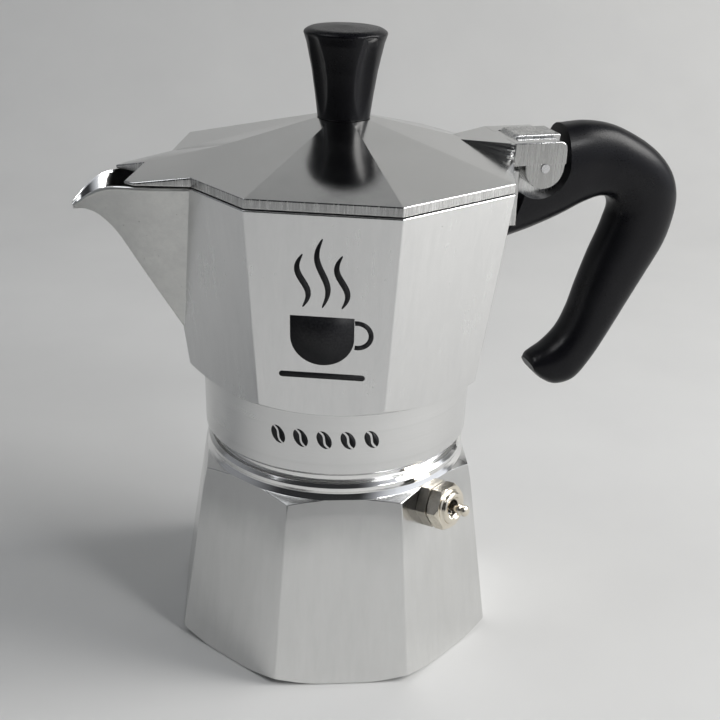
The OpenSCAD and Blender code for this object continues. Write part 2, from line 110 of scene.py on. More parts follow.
def rounded(points, radii, steps=4, closed=False):
    """Polylines with rounded corners. points is (..., corner, 2); a radius of 0 keeps a corner."""
    count = points.shape[-2]
    parts = []
    share = np.linspace(0, 1, steps + 1)[:, None]
    for i, radius in enumerate(radii):
        here = points[..., i, :]
        if radius == 0 or (not closed and i in (0, count - 1)):
            parts.append(here[..., None, :])
            continue
        back = points[..., (i - 1) % count, :] - here
        ahead = points[..., (i + 1) % count, :] - here
        back_len = np.linalg.norm(back, axis=-1, keepdims=True)
        ahead_len = np.linalg.norm(ahead, axis=-1, keepdims=True)
        u, v = back / back_len, ahead / ahead_len
        half = np.arccos(np.clip((u * v).sum(-1, keepdims=True), -1, 1)) / 2
        reach = np.minimum(radius / np.tan(half), 0.48 * np.minimum(back_len, ahead_len))
        start, end = (here + u * reach)[..., None, :], (here + v * reach)[..., None, :]
        middle = here[..., None, :]
        weight = np.sin(half)[..., None, :]
        a, b, c = (1 - share) ** 2, 2 * weight * share * (1 - share), share ** 2
        parts.append((a * start + b * middle + c * end) / (a + b + c))
    return np.concatenate(parts, axis=-2)


def polygon_outline(sides, first_corner, rounding, per_side):
    """Angles round a regular polygon of unit corner radius with rounded corners, and its radius there."""
    half = math.pi / sides
    centre = 1 - rounding / math.cos(half)
    turn = math.atan2(rounding * math.sin(half), centre + rounding * math.cos(half))
    corner = np.linspace(-turn, turn, 7)
    side = np.linspace(turn, 2 * half - turn, per_side + 1)[1:-1]
    near = np.concatenate([corner, side])
    beyond = np.abs((near + half) % (2 * half) - half)
    on_side = math.cos(half) / np.cos(half - beyond)
    on_corner = centre * np.cos(near) + np.sqrt(np.maximum(rounding ** 2 - (centre * np.sin(near)) ** 2, 0))
    radius = np.where(beyond < turn, on_corner, on_side)
    angles = np.concatenate([first_corner + near + 2 * half * k for k in range(sides)])
    return angles, np.tile(radius, sides)


def meet(k, wall_r, wall_taper, cone_r, cone_z, cone_slope):
    """Where the facet r = k (wall_r + wall_taper z) meets the cone through (cone_r, cone_z)."""
    z = (k * wall_r - cone_r + cone_slope * cone_z) / (cone_slope - k * wall_taper)
    return np.stack([k * (wall_r + wall_taper * z), z], -1)


def stack_path(count, *corners):
    """Corners, each one (r, z) or one per angle, as an array of paths."""
    return np.stack([np.broadcast_to(np.array(c, float), (count, 2)) for c in corners], 1)


def make_object(name, points, faces, matrix=None):
    """Object in metres from points in millimetres, moved by a matrix in metres."""
    mesh = bpy.data.meshes.new(name)
    mesh.from_pydata((np.asarray(points) * MM).tolist(), [], faces)
    if matrix is not None:
        mesh.transform(matrix)
    bm = bmesh.new()
    bm.from_mesh(mesh)
    bmesh.ops.recalc_face_normals(bm, faces=bm.faces)
    bm.to_mesh(mesh)
    bm.free()
    mesh.shade_smooth()
    obj = bpy.data.objects.new(name, mesh)
    bpy.context.scene.collection.objects.link(obj)
    return obj


def revolved(name, angles, paths, matrix=None):
    """Closed solid with one path of (r, z) per angle, whose first and last points are on the axis."""
    count, steps = len(angles), paths.shape[1] - 2
    ring = paths[:, 1:-1]
    spin = np.stack([np.cos(angles), np.sin(angles)], -1)[:, None, :]
    xyz = np.concatenate([ring[..., :1] * spin, ring[..., 1:]], -1).reshape(-1, 3)
    poles = [[0, 0, paths[0, 0, 1]], [0, 0, paths[0, -1, 1]]]
    here = np.arange(count)
    after = (here + 1) % count
    a = (here[:, None] * steps + np.arange(steps - 1)).ravel()
    b = (after[:, None] * steps + np.arange(steps - 1)).ravel()
    quads = np.stack([a, b, b + 1, a + 1], -1).tolist()
    south, north = count * steps, count * steps + 1
    pairs = [(int(i) * steps, int(j) * steps) for i, j in zip(here, after)]
    caps = [[south, j, i] for i, j in pairs] + [[north, i + steps - 1, j + steps - 1] for i, j in pairs]
    return make_object(name, np.concatenate([xyz, poles]), quads + caps, matrix)


def round_solid(name, corners, radii, segments=128, steps=4, matrix=None):
    """Closed round solid from the corners of its (r, z) profile."""
    angles = np.linspace(0, 2 * math.pi, segments, endpoint=False)
    path = rounded(np.array(corners, float), radii, steps)
    return revolved(name, angles, np.broadcast_to(path, (segments, *path.shape)), matrix)


def rod(name, radius, low, high, segments=64, matrix=None):
    """Plain cylinder round the axis."""
    return round_solid(name, [(0, low), (radius, low), (radius, high), (0, high)], [0] * 4, segments,
                       matrix=matrix)


def swept(name, rings, matrix=None):
    """Closed solid through a list of rings with the same number of points."""
    rings = np.asarray(rings, float)
    count, n = rings.shape[:2]
    i = np.arange(count - 1)[:, None] * n
    j = np.arange(n)
    k = (j + 1) % n
    quads = np.stack([x.ravel() for x in (i + j, i + k, i + n + k, i + n + j)], -1).tolist()
    caps = [list(range(n))[::-1], [(count - 1) * n + x for x in range(n)]]
    return make_object(name, rings.reshape(-1, 3), quads + caps, matrix)


def inset(outline, distance):
    """A closed outline of (a, b) points moved inwards."""
    back, ahead = np.roll(outline, 1, 0), np.roll(outline, -1, 0)
    area = (outline[:, 0] * ahead[:, 1] - ahead[:, 0] * outline[:, 1]).sum()
    e0, e1 = outline - back, ahead - outline
    e0 /= np.linalg.norm(e0, axis=1, keepdims=True)
    e1 /= np.linalg.norm(e1, axis=1, keepdims=True)
    side = math.copysign(1, area)
    n0, n1 = np.stack([-e0[:, 1], e0[:, 0]], -1), np.stack([-e1[:, 1], e1[:, 0]], -1)
    n = n0 + n1
    n /= np.maximum((n * n).sum(1, keepdims=True) / 2, 0.5)
    return outline + side * distance * n


def plate(name, outline, y0, y1, bevel=0.3, steps=3):
    """Plate with bevelled edges: an outline of (x, z) points between two values of y."""
    rings = []
    for y, inwards in ((y0, 1), (y1, -1)):
        for turn in np.linspace(0, math.pi / 2, steps + 1):
            sunk = bevel * (1 - math.sin(turn)), bevel * (1 - math.cos(turn))
            flat = inset(outline, sunk[0])
            rings.append((y + inwards * sunk[1], flat))
    rings.sort(key=lambda item: item[0])
    return swept(name, [np.stack([f[:, 0], np.full(len(f), y), f[:, 1]], -1) for y, f in rings])


def bar(name, x0, x1, z0, z1, half_width, bevel=CUT, steps=1):
    """Block across y = 0; with the usual bevel it is there to cut with."""
    outline = np.array([[x0, z0], [x1, z0], [x1, z1], [x0, z1]], float)
    return plate(name, outline, -half_width, half_width, bevel, steps)


def arc(centre, radius, start, end, steps=24):
    """Points of an arc, with its angles in degrees."""
    a = np.radians(np.linspace(start, end, steps + 1))
    return np.stack([centre[0] + radius * np.cos(a), centre[1] + radius * np.sin(a)], -1)


def joined(obj, operation, *others):
    """Applies one exact boolean after another and removes what was used up."""
    for other in others:
        step = obj.modifiers.new(operation.lower(), "BOOLEAN")
        step.operation = operation
        step.solver = "EXACT"
        step.object = other
        apply_modifiers(obj)
        data = other.data
        bpy.data.objects.remove(other)
        bpy.data.meshes.remove(data)


def apply_modifiers(obj):
    """Makes what the modifiers show the object's own mesh."""
    graph = bpy.context.evaluated_depsgraph_get()
    mesh = bpy.data.meshes.new_from_object(obj.evaluated_get(graph))
    old = obj.data
    obj.modifiers.clear()
    obj.data = mesh
    bpy.data.meshes.remove(old)


def tidy_mesh(obj, sharp_deg=32):
    """Merges doubles, marks sharp edges and weights the normals by face area."""
    bm = bmesh.new()
    bm.from_mesh(obj.data)
    bmesh.ops.remove_doubles(bm, verts=bm.verts, dist=1e-6)
    bmesh.ops.dissolve_degenerate(bm, edges=bm.edges, dist=1e-6)
    bm.to_mesh(obj.data)
    bm.free()
    obj.data.shade_smooth()
    obj.data.set_sharp_from_angle(angle=math.radians(sharp_deg))
    weights = obj.modifiers.new("weighted_normals", "WEIGHTED_NORMAL")
    weights.keep_sharp = True
    weights.weight = 80


def face_data(obj):
    """Centres in millimetres and normals of an object's faces."""
    count = len(obj.data.polygons)
    centres, normals = np.zeros(count * 3), np.zeros(count * 3)
    obj.data.polygons.foreach_get("center", centres)
    obj.data.polygons.foreach_get("normal", normals)
    return centres.reshape(-1, 3) / MM, normals.reshape(-1, 3)


def paint(obj, materials, index=None):
    """Gives an object its materials, and each face its own where an index is given."""
    obj.data.materials.clear()
    for material in materials:
        obj.data.materials.append(material)
    if index is None:
        index = np.zeros(len(obj.data.polygons))
    obj.data.polygons.foreach_set("material_index", np.asarray(index, np.int32))
    obj.data.update()


# ---------------- materials

class Shader:
    """The node tree of a material or world, with short calls for its nodes."""

    def __init__(self, owner):
        owner.use_nodes = True
        self.owner = owner
        self.tree = owner.node_tree
        self.surface = next(n for n in self.tree.nodes if n.type in ("BSDF_PRINCIPLED", "BACKGROUND"))
        self.coordinates = self.add("ShaderNodeTexCoord").outputs
        self.place = self.coordinates["Object"]

    def add(self, kind, settings=None, **values):
        node = self.tree.nodes.new(kind)
        for key, value in (settings or {}).items():
            setattr(node, key, value)
        for key, value in values.items():
            self.put(node.inputs[key.replace("_", " ")], value)
        return node

    def put(self, socket, value):
        if isinstance(value, bpy.types.NodeSocket):
            self.tree.links.new(value, socket)
        else:
            socket.default_value = value

    def set(self, **values):
        for key, value in values.items():
            self.put(self.surface.inputs[key.replace("_", " ")], value)

    def math(self, operation, a, b=0.0, clamp=False):
        node = self.add("ShaderNodeMath", {"operation": operation, "use_clamp": clamp})
        self.put(node.inputs[0], a)
        self.put(node.inputs[1], b)
        return node.outputs[0]

    def scaled(self, x, y, z, place=None):
        """Coordinates in periods per millimetre along each axis."""
        node = self.add("ShaderNodeMapping", Vector=place or self.place)
        node.inputs["Scale"].default_value = (x / MM, y / MM, z / MM)
        return node.outputs[0]

    def round_place(self):
        """(distance from the screw axis, 0, height), for turned surfaces."""
        parts = self.add("ShaderNodeSeparateXYZ", Vector=self.place).outputs
        x2, y2 = (self.math("MULTIPLY", part, part) for part in parts[:2])
        r = self.math("SQRT", self.math("ADD", x2, y2))
        return self.add("ShaderNodeCombineXYZ", X=r, Z=parts[2]).outputs[0]

    def noise(self, vector, detail=3.0, roughness=0.5, scale=1.0):
        return self.add("ShaderNodeTexNoise", Vector=vector, Scale=scale, Detail=detail,
                        Roughness=roughness).outputs["Fac"]

    def ramp(self, value, low, high, to_low, to_high, kind="LINEAR"):
        node = self.add("ShaderNodeMapRange", {"interpolation_type": kind}, Value=value, From_Min=low,
                        From_Max=high, To_Min=to_low, To_Max=to_high)
        return node.outputs[0]

    def mix(self, fac, a, b):
        node = self.add("ShaderNodeMix", {"data_type": "RGBA"})
        self.put(node.inputs["Factor"], fac)
        self.put(node.inputs["A"], (*a, 1) if isinstance(a, tuple) else a)
        self.put(node.inputs["B"], (*b, 1) if isinstance(b, tuple) else b)
        return node.outputs["Result"]

    def bump(self, height, strength, depth_mm, normal=None):
        node = self.add("ShaderNodeBump", Height=height, Strength=strength, Distance=depth_mm * MM)
        if normal is not None:
            self.put(node.inputs["Normal"], normal)
        return node.outputs[0]


PIT_TONE = (0.2, 0.2, 0.2)
# tone of the painted shade that darkens the boiler's facets towards their top
PAINTED_SHADE_TONE = (0.16, 0.165, 0.175)


def pits(shader, size, share):
    """Small dark pits: 1 inside a pit, 0 on sound metal. size is their spacing in millimetres."""
    dots = shader.noise(shader.scaled(1 / size, 1 / size, 1 / size), detail=1.0)
    return shader.ramp(dots, 1 - share, 1 - share + 0.04, 0.0, 1.0)


def metal(name, light, dark, roughness, grain, grain_share, turned=False, bump=0.25, pitted=0.17,
          shade=None):
    """Aluminium or plated metal. grain is the periods per mm of its scratches, across x, y and z or one
    number for all three; roughness is its lowest and highest. A tone may be one number, for a grey.
    shade is (low z, high z, share of painted shade at each): a darkening towards the top painted into the
    colour, standing in for a dark reflection."""
    light, dark, grain = ((v,) * 3 if isinstance(v, float) else v for v in (light, dark, grain))
    s = Shader(bpy.data.materials.new(name))
    place = s.round_place() if turned else s.place
    fine = s.noise(s.scaled(*grain, place), detail=4.0, roughness=0.7)
    broad = s.noise(s.scaled(*[g * 0.22 for g in grain], place), detail=2.0)
    cloud = s.noise(s.scaled(0.05, 0.05, 0.05), detail=3.0)
    streak = s.math("ADD", s.math("MULTIPLY", fine, grain_share),
                    s.math("MULTIPLY", broad, 1 - grain_share))
    hole = pits(s, 0.8, pitted)
    tone = s.mix(s.ramp(streak, 0.3, 0.7, 0.0, 1.0), dark, light)
    tone = s.mix(s.ramp(cloud, 0.3, 0.75, 0.0, 0.35), tone, tuple(0.93 * c for c in light))
    tone = s.mix(s.math("MULTIPLY", hole, 0.4), tone, PIT_TONE)
    # painted shade: darkens the colour towards the top, standing in for a dark reflection
    if shade:
        z_low, z_high, least, most = shade
        wander = 12.0
        level = s.add("ShaderNodeSeparateXYZ", Vector=s.place).outputs[2]
        level = s.math("ADD", s.math("MULTIPLY", cloud, wander * MM), level)
        start, end = ((z + wander / 2) * MM for z in (z_low, z_high))
        painted_shade = s.ramp(level, start, end, least, most, "SMOOTHSTEP")
        tone = s.mix(painted_shade, tone, PAINTED_SHADE_TONE)
    low, high = roughness
    rough = s.math("ADD", s.ramp(streak, 0.3, 0.7, low, high), s.math("MULTIPLY", hole, 0.2))
    rough = s.math("ADD", rough, s.ramp(cloud, 0.3, 0.7, -0.03, 0.03))
    height = s.math("SUBTRACT", streak, s.math("MULTIPLY", hole, 0.5))
    s.set(Base_Color=tone, Metallic=1.0, Roughness=rough, Normal=s.bump(height, bump, 0.05))
    return s.owner


WHITE = (0.80, 0.80, 0.795)

facet_metal = metal("brushed_facets", WHITE, 0.70, (0.19, 0.28), (2.4, 2.4, 0.02), 0.6, bump=0.06)
# boiler facets: painted shade darkens them towards their top, standing in for the dark reflection on the
# front facet
boiler_metal = metal("boiler_facets", (0.80, 0.80, 0.79), (0.70, 0.70, 0.69), (0.15, 0.24), (1.8, 1.8, 0.1),
                     0.5, bump=0.05, shade=(33.0, 48.0, 0.0, 0.35))
turned_metal = metal("turned_band", WHITE, (0.68, 0.68, 0.675), (0.18, 0.28), 3.0, 0.6, turned=True,
                     bump=0.16)
bead_metal = metal("turned_bright", (0.92, 0.915, 0.905), (0.8, 0.8, 0.795), (0.08, 0.18), 2.5, 0.5,
                   turned=True, bump=0.15)
lid_metal = metal("polished_lid", (0.72, 0.72, 0.715), (0.67, 0.67, 0.66), (0.10, 0.17), 0.5, 0.5, bump=0.05,
                  pitted=0.18)
# filed metal darker than the facets: real filing streaks, and a dark tone that is painted shade in the recess
# at the hinge and a painted dark reflection on the lid's rim
filed_metal_painted_shade = metal("filed_edge_painted_shade", (0.78, 0.78, 0.77), 0.22, (0.15, 0.35), (2.4, 2.4, 0.15), 0.7, bump=0.5)
ear_metal = metal("scratched_ear", (0.52, 0.52, 0.51), (0.28, 0.28, 0.275), (0.2, 0.36), (2.0, 2.0, 0.08),
                  0.6, bump=0.25)
cast_metal = metal("cast_spout", (0.74, 0.74, 0.72), (0.58, 0.58, 0.57), (0.38, 0.52), 0.7, 0.5, bump=0.35,
                   pitted=0.24)
inner_metal = metal("cast_inside", (0.74, 0.74, 0.73), 0.6, (0.3, 0.45), 1.2, 0.5, bump=0.2)
sheet_metal = metal("pressed_sheet", 0.85, 0.75, (0.2, 0.3), 1.5, 0.5, turned=True, bump=0.1)
nickel = metal("nickel_plate", (0.84, 0.79, 0.69), (0.66, 0.6, 0.5), (0.12, 0.24), 1.6, 0.5, bump=0.12)
dull_nickel = metal("dull_nickel", (0.52, 0.49, 0.43), (0.36, 0.34, 0.3), (0.28, 0.42), 1.6, 0.5, bump=0.2)
steel = metal("plain_steel", (0.68, 0.68, 0.69), (0.52, 0.52, 0.53), (0.22, 0.34), 2.0, 0.5, bump=0.12)
brass = metal("turned_brass", (0.86, 0.68, 0.36), (0.7, 0.52, 0.25), (0.2, 0.3), 2.0, 0.5, turned=True,
              bump=0.1)


def plastic(name, dark, light, roughness, grain_mm, bump):
    """Moulded black plastic with a fine spark-eroded grain."""
    s = Shader(bpy.data.materials.new(name))
    grain = s.noise(s.scaled(*[1 / grain_mm] * 3), detail=2.0)
    cloud = s.noise(s.scaled(0.08, 0.08, 0.08), detail=3.0)
    tone = s.mix(s.ramp(grain, 0.35, 0.7, 0.0, 1.0), dark, light)
    low, high = roughness
    uneven = s.math("ADD", s.math("MULTIPLY", grain, 0.5), s.math("MULTIPLY", cloud, 0.5))
    rough = s.ramp(uneven, 0.35, 0.65, low, high)
    s.set(Base_Color=tone, Roughness=rough, Specular_IOR_Level=0.20, Normal=s.bump(grain, bump, 0.08))
    return s.owner


black_plastic = plastic("black_plastic", (0.002, 0.002, 0.003), (0.005, 0.005, 0.007), (0.26, 0.36),
                        0.35, 0.16)
white_rubber = plastic("white_rubber", (0.66, 0.64, 0.58), (0.76, 0.74, 0.69), (0.55, 0.7), 0.6, 0.1)
dark_rubber = plastic("dark_rubber", (0.02, 0.02, 0.02), (0.04, 0.04, 0.04), (0.5, 0.65), 0.4, 0.1)
ink = plastic("black_ink", (0.010, 0.010, 0.012), (0.022, 0.022, 0.024), (0.35, 0.5), 0.5, 0.05)


# ---------------- vessel

octagon_angles, octagon_k = polygon_outline(SIDES, 0.0, 0.7 / RIM_R, 20)


def octagonal(name, corners, radii, steps=4, turn=0.0, matrix=None):
    """Solid between the eight facets; a corner given as a function of k differs from angle to angle."""
    count = len(octagon_angles)
    k = octagon_k
    placed = [c(k) if callable(c) else c for c in corners]
    paths = rounded(stack_path(count, *placed), radii, steps)
    return revolved(name, octagon_angles + turn, paths, matrix)


def on_facets(radius, z):
    """A corner of an octagonal path that lies on the facets."""
    return lambda k: np.stack([k * radius, np.full(len(k), z)], -1)


# Beak: x, height of its top edge, half width there, height of its keel
BEAK = np.array([
    [-38.5, RIM_Z - 0.05, 13.8, 83.5], [-47.6, RIM_Z - 0.05, 12.0, 98.6], [-52.5, RIM_Z - 0.05, 10.7, 106.9],
    [-57.0, RIM_Z - 0.05, 8.9, 114.6], [-60.0, 128.7, 7.2, 118.4], [-62.5, 127.7, 5.7, 120.6],
    [-65.0, 125.9, 4.1, 121.7], [-67.8, 123.3, 2.0, 121.9]])


def smooth_stations(table, per_gap):
    """Catmull-Rom points between the rows of a table, along its first column."""
    padded = np.concatenate([2 * table[:1] - table[1:2], table, 2 * table[-1:] - table[-2:-1]])
    out = []
    for i in range(len(table) - 1):
        a, b, c, d = padded[i:i + 4]
        for u in np.linspace(0, 1, per_gap, endpoint=False):
            square, cube = 2 * a - 5 * b + 4 * c - d, 3 * b - a - 3 * c + d
            out.append(b + u * ((c - a) + u * (square + u * cube)) / 2)
    return np.array(out + [table[-1]])


def beak_solid():
    """The spout from outside: a V section with a rounded keel and lips."""
    rings = []
    keel_r = 0.8
    for x, top, half, keel in smooth_stations(BEAK, 6):
        slant = math.atan2(half, top - keel)
        drop = keel_r * (1 / math.sin(slant) - 1)
        lip = 0.7 if x > -64 else 0.5
        section = rounded(np.array([[-half, top], [0, keel - drop], [half, top], [0, top]]),
                          [lip, keel_r, lip, 0], 5, closed=True)
        rings.append([[x, y, z] for y, z in section])
    return swept("beak", rings)


def channel_solid():
    """What the spout leaves open, from inside the vessel to beyond its tip."""
    rings = []
    stations = smooth_stations(BEAK, 6)
    start, end = -31.0, -70.0
    for x, top, half, keel in [[start, *stations[0][1:]], *stations, [end, *stations[-1][1:]]]:
        wall = np.interp(x, [-67.8, -60, -38], [0.8, 1.2, 2.1])
        slant = math.atan2(half, top - keel)
        inner = max(half - wall / math.cos(min(slant, 0.8)), 0.9)
        floor = min(keel + wall / math.sin(max(slant, 0.45)), top - 0.7)
        flare = 0.35 * wall
        section = rounded(np.array([
            [-inner - flare, top + 12], [-inner - flare, top + 0.1], [-inner, top - 0.5], [0, floor],
            [inner, top - 0.5], [inner + flare, top + 0.1], [inner + flare, top + 12]]),
            [0, 0.3, 0.6, 0.9, 0.6, 0.3, 0], 4, closed=True)
        rings.append([[x, y, z] for y, z in section])
    return swept("channel", rings)


def lug_outline():
    """Side of the hinge lug: flat top, round where the lid's bracket turns about the pin."""
    swing, back, front = 9.8, LUG_X, 43.0
    at_back = math.degrees(math.acos((back - PIN_X) / swing))
    at_top = math.degrees(math.asin((LUG_Z - PIN_Z) / swing))
    at_front = 180 - math.degrees(math.acos((PIN_X - front) / swing))
    right = arc((PIN_X, PIN_Z), swing, at_back, at_top, 4)
    left = arc((PIN_X, PIN_Z), swing, 180 - at_top, at_front, 16)
    return np.concatenate([[[front, TONGUE_Z]], [[back, TONGUE_Z]], right, left])


def thread(name, foot_r, crest_r, z0):
    """Helical ridge that runs out into the wall at both ends."""
    steps, turns, run_out = 60, 2.2, 8
    last = round(turns * steps)
    foot = 0.75 if crest_r > foot_r else -0.75
    rings = []
    for i in range(last + 1):
        a, z = 2 * math.pi * i / steps, z0 + PITCH * i / steps
        crest = foot_r + (crest_r - foot_r) * (0.2 + 0.8 * min(1, min(i, last - i) / run_out))
        ridge = np.array([[foot_r, -foot], [crest, -0.4 * foot], [crest, 0.4 * foot], [foot_r, foot]])
        section = rounded(ridge, [0, 0.2, 0.2, 0], 2, closed=True)
        rings.append([[r * math.cos(a), r * math.sin(a), z + dz] for r, dz in section])
    return swept(name, rings)


def make_vessel():
    hip = (40.4, 78.4, 1.56)                  # cone that cuts the facets' lower ends: r, z, slope
    body = octagonal("vessel_body", [
        (0, SKIRT_Z), (SKIRT_R + 0.9, SKIRT_Z), (BAND_R - 0.3, SKIRT_Z + 0.8), (BAND_R, BAND_Z),
        (BAND_R + 0.05, 75.75), (BAND_R + 0.62, 75.98), lambda k: meet(k, VESSEL_R0, VESSEL_TAPER, *hip),
        on_facets(RIM_R, RIM_Z), (0, RIM_Z)], [0, 0.2, 0.3, 0.1, 0.1, 0.08, 0.3, 0.35, 0])
    inner_r0, inner_rim, inner_floor_r = VESSEL_R0 - WALL, RIM_R - WALL, 32.0
    cavity = octagonal("cavity", [
        (0, FLOOR_Z), (inner_floor_r, FLOOR_Z),
        lambda k: meet(k, inner_r0, VESSEL_TAPER, inner_floor_r, FLOOR_Z, 1.057),
        on_facets(inner_rim - 0.05, RIM_Z - 0.5), on_facets(inner_rim + 0.5, RIM_Z + 0.05),
        on_facets(inner_rim + 0.5, RIM_Z + 8), (0, RIM_Z + 8)], [0, 1.5, 1.2, 0.2, 0, 0, 0])
    # the vessel's underside: skirt, groove for the gasket and room over the filter plate
    groove_r, groove_z, dish_z = 32.6, 67.9, 70.4
    skirt = round_solid("skirt_bore", [
        (0, SKIRT_Z - 1), (SKIRT_R + 0.4, SKIRT_Z - 1), (SKIRT_R + 0.4, SKIRT_Z + 0.1),
        (SKIRT_R, SKIRT_Z + 0.5), (SKIRT_R, groove_z), (groove_r, groove_z), (groove_r, dish_z), (27, dish_z),
        (26, dish_z + 1.2), (0, dish_z + 1.2)], [0, 0, 0, 0, 0.4, 0, 0.3, 0, 0.5, 0], 160, 2)
    joined(cavity, "DIFFERENCE", bar("keep", 40, 60, 100, 140, LUG_W))
    web = bar("web", 40, WEB_X, WEB_Z, RIM_Z - 1, WEB_W, 0.5, 3)
    lug = plate("lug", lug_outline(), -LUG_W, LUG_W, 0.35)
    tongue = bar("tongue", 43, TONGUE_X, TONGUE_Z, TONGUE_TOP_Z, TONGUE_W, 0.2, 3)
    joined(body, "UNION", beak_solid(), lug, web, tongue)
    joined(body, "DIFFERENCE", cavity, channel_solid(), skirt)
    joined(body, "UNION", thread("inner_thread", SKIRT_R + 0.4, SKIRT_R - 0.8, THREAD_Z + PITCH / 2))
    joined(body, "DIFFERENCE", rod("foot_hole", SPIGOT_R + PLAY, 70.6, 75),
           on_pin("pin_hole", PIN_R + 0.01, 40),
           rod("screw_hole", SCREW_R, 100, 125, 32, Matrix.Translation((SCREW_X * MM, 0, 0))))
    centre, normal = face_data(body)
    r = np.hypot(centre[:, 0], centre[:, 1])
    outwards = (centre[:, 0] * normal[:, 0] + centre[:, 1] * normal[:, 1]) / np.maximum(r, 1e-6)
    z = centre[:, 2]
    wall_r = (VESSEL_R0 + VESSEL_TAPER * z) * FLAT
    inside = (z > FLOOR_Z - 0.1) & (r < wall_r - 0.8) & (centre[:, 0] < 46)
    beak = (centre[:, 0] < -42) & (np.abs(centre[:, 1]) < 13.9) & (r > wall_r + 0.2) & (outwards > -0.2)
    side_on = np.abs(normal[:, 2]) < 0.75
    cast = beak & side_on & (centre[:, 1] * normal[:, 1] > 0)
    lip = (centre[:, 0] < -38) & (np.abs(centre[:, 1]) < 13.9) & (centre[:, 1] * normal[:, 1] <= 0) & (z > 90)
    index = np.where(inside, 2, 0)
    index = np.where((z < 76.1) & (r > 35.2), 1, index)
    index = np.where((z < 75) & (r <= 35.2), 2, index)
    index = np.where(cast, 3, index)
    index = np.where((beak & ~cast) | lip, 4, index)
    # painted shade: the lug, web and tongue in the recess under the hinge get the darker filed metal
    index = np.where((centre[:, 0] > 43.2) & (z > WEB_Z - 0.5) & (np.abs(centre[:, 1]) < 9), 5, index)
    paint(body, [facet_metal, turned_metal, inner_metal, cast_metal, lid_metal, filed_metal_painted_shade], index)
    tidy_mesh(body)
    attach(body, "vessel")
    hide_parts("vessel")


def make_column():
    """The tube that the coffee rises through, pressed into the vessel's floor."""
    low, high = COLUMN_LO[2], COLUMN_HI[2]
    column = round_solid("riser", [
        (0, low), (SPIGOT_R, low), (SPIGOT_R, FLOOR_Z), (8.8, FLOOR_Z), (8.3, FLOOR_Z + 1.4),
        (7.4, FLOOR_Z + 5), (5.2, high - 4), (4.2, high - 1.2), (2.4, high), (0, high)],
        [0, 0.2, 0, 0.2, 1.2, 2, 0.8, 0.8, 0.5, 0], 72)
    roof, bore_r, outlet_w, outlet_h = high - 6, 3.2, 2.3, 6
    joined(column, "DIFFERENCE", rod("column_bore", bore_r, 69.6, roof - 0.05, 48),
           bar("outlets", -outlet_w, outlet_w, roof - outlet_h, roof, 15))
    paint(column, [inner_metal])
    tidy_mesh(column)
    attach(column, "vessel")
    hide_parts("column")


def on_pin(name, radius, length, segments=64):
    """Round bar on the hinge's axis."""
    turn = Matrix.Translation((PIN_X * MM, 0, PIN_Z * MM)) @ Matrix.Rotation(math.pi / 2, 4, "X")
    return rod(name, radius, -length / 2, length / 2, segments, turn)


# ---------------- boiler

def make_boiler():
    wall = (BOILER_R, BOILER_TAPER)
    base_r = np.minimum(43.2, octagon_k * BOILER_R - 0.2)
    shoulder = (38.6, 50.2, -2.29)            # cone that cuts the facets' upper ends: r, z, slope
    eased = 4.5                               # height over which the facets bend inwards below it

    def bend(k):
        return meet(k, *wall, *shoulder) + np.stack([0.155 * eased * k, np.full(len(k), -eased)], -1)

    body = octagonal("boiler_body", [
        (0, 0), lambda k: np.stack([base_r, 0 * k], -1), lambda k: meet(k, *wall, base_r, 0.0, 1.538),
        bend, lambda k: meet(k, BOILER_R - 0.30, BOILER_TAPER, *shoulder), (35.5, 51.55), (35.1, 52.3),
        (34.7, 53.2), (35.15, 54.0), (35.15, 54.9), (34.3, 55.8), (NECK_R, 55.8), (NECK_R, NECK_Z - 0.6),
        (NECK_R - 0.6, NECK_Z), (0, NECK_Z)],
        [0, 0.6, 0.35, 40, 0.25, 0.3, 0.3, 0.3, 0.4, 0.4, 0.2, 0.3, 0.2, 0.2, 0], turn=BOILER_TURN)
    inner, mouth_r = (BOILER_R - WALL, BOILER_TAPER), 29.4
    cavity = octagonal("boiler_cavity", [
        (0, 3.5), (38, 3.5), lambda k: meet(k, *inner, 38.0, 3.5, 1.0),
        lambda k: meet(k, *inner, 34.0, 47.5, -1.53), (mouth_r, 50.5), (mouth_r, NECK_Z - 0.4),
        (mouth_r + 0.4, NECK_Z + 0.05), (mouth_r + 0.4, NECK_Z + 3), (0, NECK_Z + 3)],
        [0, 1.5, 1.5, 1.5, 1, 0.2, 0, 0, 0], turn=BOILER_TURN)
    joined(body, "UNION", thread("outer_thread", NECK_R - 0.4, NECK_R + 0.8, THREAD_Z))
    joined(body, "DIFFERENCE", cavity, rod("valve_hole", VALVE_SHANK_R, -10, 4, 64, valve_matrix()))
    centre, normal = face_data(body)
    r = np.hypot(centre[:, 0], centre[:, 1])
    z = centre[:, 2]
    outwards = (centre[:, 0] * normal[:, 0] + centre[:, 1] * normal[:, 1]) / np.maximum(r, 1e-6)
    inside = (outwards < 0.1) & (r < 43) & (z > 3) & (z < NECK_Z - 0.1) | (r < mouth_r - 0.1)
    index = np.where((z > 45) & (normal[:, 2] > 0.5), 1, 0)
    index = np.where((z > 51.4) & (r > 30), 3, index)
    index = np.where(inside, 2, index)
    index = np.where((z < 0.4) & (normal[:, 2] < -0.5), 1, index)
    paint(body, [boiler_metal, turned_metal, inner_metal, bead_metal], index)
    tidy_mesh(body)
    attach(body, "boiler")
    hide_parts("boiler")


# ---------------- safety valve

VALVE_Z, VALVE_SIDE, VALVE_HEX, VALVE_SHANK_R = 46.6, -3.4, 11.0, 4.6
VALVE_TILT = math.atan(-BOILER_TAPER * FLAT)
VALVE_ANGLE = BOILER_TURN + HALF_SIDE - math.pi / 2


